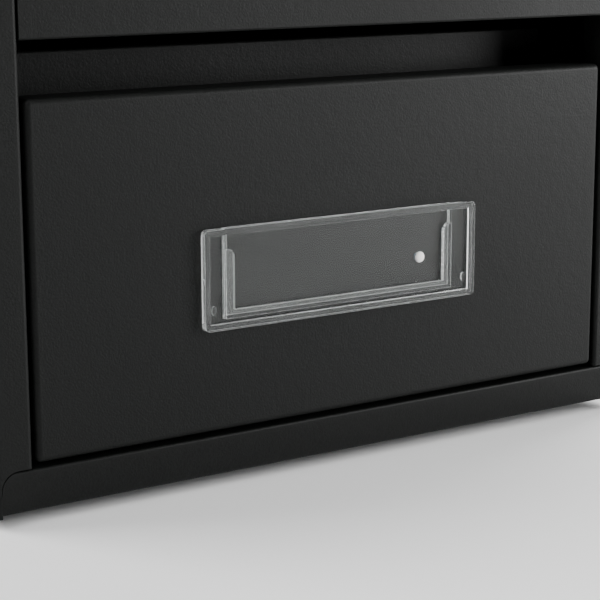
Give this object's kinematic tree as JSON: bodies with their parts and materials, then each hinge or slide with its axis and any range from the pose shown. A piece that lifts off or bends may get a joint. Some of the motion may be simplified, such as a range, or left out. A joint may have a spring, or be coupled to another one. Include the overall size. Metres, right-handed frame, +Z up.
{
  "type": "filing cabinet",
  "caption": "Narrow black steel filing cabinet: a folded sheet case with flush drawers on slides, finger gaps over the fronts and clear label holders.",
  "frame": {"origin": "on the floor under the middle of the cabinet's bounding box, feet included", "axes": "+Z up; -Y is the side that the drawer fronts look to; +X to the right of somebody who faces the fronts"},
  "size_m": [0.28, 0.403, 0.66],
  "materials": {
    "black_powder_coat": "matt black powder coat with a fine texture",
    "runner_steel": "plain zinc-plated steel",
    "clear_plastic": "clear moulded polystyrene",
    "white_nylon": "natural white nylon",
    "foot_plastic": "black moulded plastic"
  },
  "bodies": {
    "cabinet": {"left_side_panel": "black_powder_coat", "right_side_panel": "black_powder_coat", "top_panel": "black_powder_coat", "back_panel": "black_powder_coat", "base_tray": "black_powder_coat", "bottom_rail": "black_powder_coat", "divider_rail_1": "black_powder_coat", "divider_rail_2": "black_powder_coat", "divider_rail_3": "black_powder_coat", "front_left_foot": "foot_plastic", "front_right_foot": "foot_plastic", "rear_left_foot": "foot_plastic", "rear_right_foot": "foot_plastic", "drawer_1_left_runner": "runner_steel", "drawer_1_right_runner": "runner_steel", "drawer_2_left_runner": "runner_steel", "drawer_2_right_runner": "runner_steel", "drawer_3_left_runner": "runner_steel", "drawer_3_right_runner": "runner_steel", "drawer_4_left_runner": "runner_steel", "drawer_4_right_runner": "runner_steel"},
    "drawer_1": {"drawer_1_front": "black_powder_coat", "drawer_1_tray": "black_powder_coat", "drawer_1_grip_channel": "black_powder_coat", "drawer_1_left_slide": "runner_steel", "drawer_1_right_slide": "runner_steel", "drawer_1_left_glide": "white_nylon", "drawer_1_right_glide": "white_nylon", "drawer_1_label_holder": "clear_plastic", "drawer_1_label_rivet": "white_nylon"},
    "drawer_2": {"drawer_2_front": "black_powder_coat", "drawer_2_tray": "black_powder_coat", "drawer_2_grip_channel": "black_powder_coat", "drawer_2_left_slide": "runner_steel", "drawer_2_right_slide": "runner_steel", "drawer_2_left_glide": "white_nylon", "drawer_2_right_glide": "white_nylon", "drawer_2_label_holder": "clear_plastic", "drawer_2_label_rivet": "white_nylon"},
    "drawer_3": {"drawer_3_front": "black_powder_coat", "drawer_3_tray": "black_powder_coat", "drawer_3_grip_channel": "black_powder_coat", "drawer_3_left_slide": "runner_steel", "drawer_3_right_slide": "runner_steel", "drawer_3_left_glide": "white_nylon", "drawer_3_right_glide": "white_nylon", "drawer_3_label_holder": "clear_plastic", "drawer_3_label_rivet": "white_nylon"},
    "drawer_4": {"drawer_4_front": "black_powder_coat", "drawer_4_tray": "black_powder_coat", "drawer_4_grip_channel": "black_powder_coat", "drawer_4_left_slide": "runner_steel", "drawer_4_right_slide": "runner_steel", "drawer_4_left_glide": "white_nylon", "drawer_4_right_glide": "white_nylon", "drawer_4_label_holder": "clear_plastic", "drawer_4_label_rivet": "white_nylon"}
  },
  "joints": [
    {"name": "drawer_1_slide", "type": "slide", "parent": "cabinet", "child": "drawer_1", "axis": [0, -1, 0], "range_m": [0, 0.3]},
    {"name": "drawer_2_slide", "type": "slide", "parent": "cabinet", "child": "drawer_2", "axis": [0, -1, 0], "range_m": [0, 0.3]},
    {"name": "drawer_3_slide", "type": "slide", "parent": "cabinet", "child": "drawer_3", "axis": [0, -1, 0], "range_m": [0, 0.3]},
    {"name": "drawer_4_slide", "type": "slide", "parent": "cabinet", "child": "drawer_4", "axis": [0, -1, 0], "range_m": [0, 0.3]}
  ]
}
